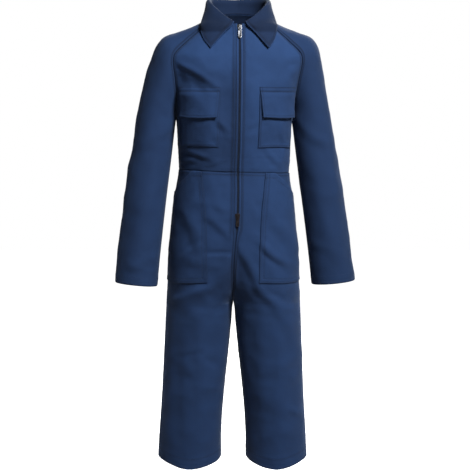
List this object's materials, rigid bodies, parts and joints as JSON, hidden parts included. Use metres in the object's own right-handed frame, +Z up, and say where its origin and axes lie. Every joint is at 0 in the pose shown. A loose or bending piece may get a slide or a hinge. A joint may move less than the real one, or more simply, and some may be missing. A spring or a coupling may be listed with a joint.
{
  "type": "child's zip-front coverall",
  "caption": "Child's coverall with turned-down collar, long raglan sleeves, front zip, flapped chest pockets and slanted hip pockets, filled out as worn.",
  "frame": {"origin": "middle of the neck base, level with where the shoulders carry the garment", "axes": "+Z up, the front faces -Y, the wearer's left is +X"},
  "size_m": [0.522, 0.2213, 1.0143],
  "materials": {
    "front_bodice_left": "matt navy twill",
    "front_bodice_right": "matt navy twill",
    "chest_pocket_left": "matt navy twill",
    "chest_pocket_right": "matt navy twill",
    "chest_flap_left": "matt navy twill",
    "chest_flap_right": "matt navy twill",
    "sleeve_left": "matt navy twill",
    "sleeve_right": "matt navy twill",
    "front_leg_left": "matt navy twill",
    "front_leg_right": "matt navy twill",
    "hip_pocket_left": "matt navy twill",
    "hip_pocket_right": "matt navy twill",
    "back_leg_left": "matt navy twill",
    "back_leg_right": "matt navy twill",
    "back_bodice": "matt navy twill",
    "collar": "matt navy twill",
    "zip_tape_left": "matt woven tape",
    "zip_tape_right": "matt woven tape",
    "zip_chain": "satin coils",
    "zip_slider_top": "bright",
    "zip_slider_bottom": "dark bronze",
    "zip_pull_top": "bright",
    "zip_pull_bottom": "dark bronze"
  },
  "bodies": {
    "garment": {"front_bodice_left": "front_bodice_left", "front_bodice_right": "front_bodice_right", "chest_pocket_left": "chest_pocket_left", "chest_pocket_right": "chest_pocket_right", "chest_flap_left": "chest_flap_left", "chest_flap_right": "chest_flap_right", "sleeve_left": "sleeve_left", "sleeve_right": "sleeve_right", "front_leg_left": "front_leg_left", "front_leg_right": "front_leg_right", "hip_pocket_left": "hip_pocket_left", "hip_pocket_right": "hip_pocket_right", "back_leg_left": "back_leg_left", "back_leg_right": "back_leg_right", "back_bodice": "back_bodice", "collar": "collar", "zip_tape_left": "zip_tape_left", "zip_tape_right": "zip_tape_right", "zip_chain": "zip_chain", "zip_slider_top": "zip_slider_top", "zip_slider_bottom": "zip_slider_bottom"},
    "pull_top": {"zip_pull_top": "zip_pull_top"},
    "pull_bottom": {"zip_pull_bottom": "zip_pull_bottom"}
  },
  "joints": [
    {"name": "pull_top_swing", "type": "hinge", "parent": "garment", "child": "pull_top", "pos_m": [0.01222, -0.07442, -0.00666], "axis": [-0.9984, -0.057, 0], "range_deg": [0, 170]},
    {"name": "pull_bottom_swing", "type": "hinge", "parent": "garment", "child": "pull_bottom", "pos_m": [0.00775, -0.10436, -0.41191], "axis": [-0.9998, -0.0221, 0], "range_deg": [0, 170]}
  ]
}
